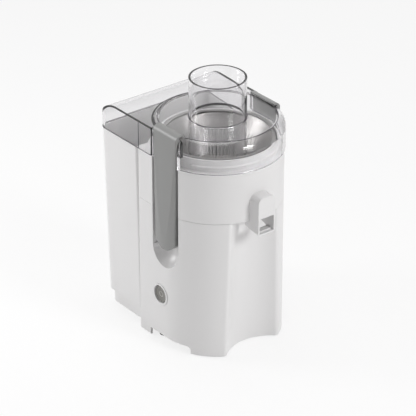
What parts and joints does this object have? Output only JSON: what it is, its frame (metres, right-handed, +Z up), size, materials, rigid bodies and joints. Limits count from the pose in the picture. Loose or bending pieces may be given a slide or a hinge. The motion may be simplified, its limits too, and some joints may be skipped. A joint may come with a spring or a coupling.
{
  "type": "centrifugal juicer",
  "caption": "Compact centrifugal juicer: white base with a glass recess, clear cover with feed chute, strainer basket on a motor shaft, side latches, juice spout and rear pulp bin.",
  "frame": {"origin": "on the table under the spindle axis", "axes": "+Z up along the spindle, -Y towards the juice spout, +Y towards the pulp bin, -X towards the side with the power button"},
  "size_m": [0.1546, 0.214, 0.3216],
  "materials": {
    "white_shell": "gloss",
    "clear_cover": "clear gloss",
    "grey_grip": "satin",
    "dark_plastic": "satin",
    "pale_plastic": "satin",
    "black_rubber": "matte",
    "steel": "brushed",
    "core_steel": "laminated",
    "aluminium": "cast",
    "copper": "enamelled wire",
    "bronze": "sintered",
    "carbon": "dull"
  },
  "bodies": {
    "base": {"base_housing": "white_shell", "juice_bowl": "white_shell", "top_cover": "clear_cover", "base_plate": "pale_plastic", "rubber_feet": "black_rubber", "base_screws": "steel", "cord_grommet": "black_rubber", "switch_body": "dark_plastic", "lower_bracket": "aluminium", "upper_bracket": "aluminium", "brush_holders": "dark_plastic", "carbon_brushes": "carbon", "motor_bolts": "steel", "lower_bearing": "bronze", "upper_bearing": "bronze", "field_core": "core_steel", "field_coils": "copper", "shaft_seal": "black_rubber", "latch_pins": "steel", "mount_screws": "steel", "motor_mounts": "black_rubber", "motor_deck": "pale_plastic", "feed_chute": "clear_cover", "bin_hood": "clear_cover"},
    "basket": {"motor_shaft": "steel", "armature_core": "core_steel", "armature_windings": "copper", "commutator": "bronze", "cooling_fan": "dark_plastic", "drive_coupling": "dark_plastic", "basket_hub": "pale_plastic", "cutter_disc": "steel", "disc_rivets": "steel", "filter_cone": "steel", "basket_rim": "steel"},
    "left_latch_body": {"left_latch": "grey_grip"},
    "right_latch_body": {"right_latch": "grey_grip"},
    "bin": {"pulp_bin": "white_shell"},
    "button": {"power_button": "grey_grip"}
  },
  "joints": [
    {"name": "basket_spin", "type": "hinge", "parent": "base", "child": "basket", "pos_m": [0, 0, 0], "axis": [0, 0, 1], "continuous": true},
    {"name": "left_latch_swing", "type": "hinge", "parent": "base", "child": "left_latch_body", "pos_m": [-0.0683, 0.001, 0.15], "axis": [0, -1, 0], "range_deg": [0, 28]},
    {"name": "right_latch_swing", "type": "hinge", "parent": "base", "child": "right_latch_body", "pos_m": [0.0683, 0.001, 0.15], "axis": [0, 1, 0], "range_deg": [0, 28]},
    {"name": "bin_slide", "type": "slide", "parent": "base", "child": "bin", "axis": [0, 1, 0], "range_m": [0, 0.13]},
    {"name": "button_press", "type": "slide", "parent": "base", "child": "button", "axis": [1, 0, 0], "range_m": [0, 0.0025], "stiffness_N_per_m": 600}
  ]
}
